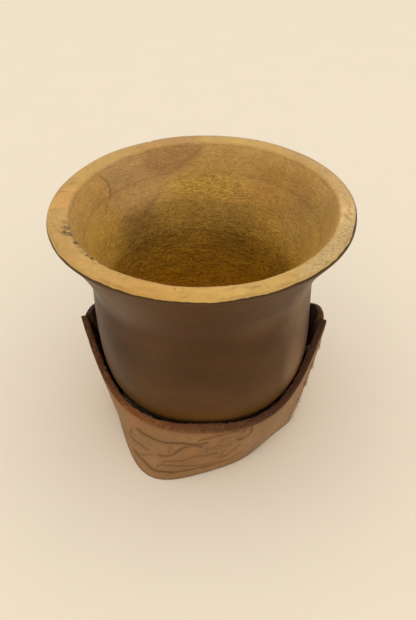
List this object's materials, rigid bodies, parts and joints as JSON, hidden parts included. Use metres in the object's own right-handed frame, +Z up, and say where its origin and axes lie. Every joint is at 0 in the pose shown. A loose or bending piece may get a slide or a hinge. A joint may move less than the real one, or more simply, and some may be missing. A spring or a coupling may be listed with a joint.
{
  "type": "gourd drinking cup in a leather stand",
  "caption": "Open, empty gourd drinking cup with a flared rim, standing in a leather stand laced up at its sides.",
  "frame": {"origin": "centre of the whole part's footprint on the table, below the gourd's axis", "axes": "+Z up along the gourd's axis, -Y towards the front panel, +X towards the right laced seam"},
  "size_m": [0.0962, 0.0962, 0.0813],
  "materials": {
    "gourd_shell": "cured gourd: tan flesh on the rim and inside, dark brown satin skin outside",
    "stand_leather": "thick brown tooled leather, smooth outside, rough reddish-brown cut edges",
    "lace_thong": "pale grey-tan rawhide thong"
  },
  "bodies": {
    "root": {"gourd_cup": "gourd_shell", "stand_front": "stand_leather", "stand_back": "stand_leather", "lacing_right": "lace_thong", "lacing_left": "lace_thong"}
  },
  "joints": []
}
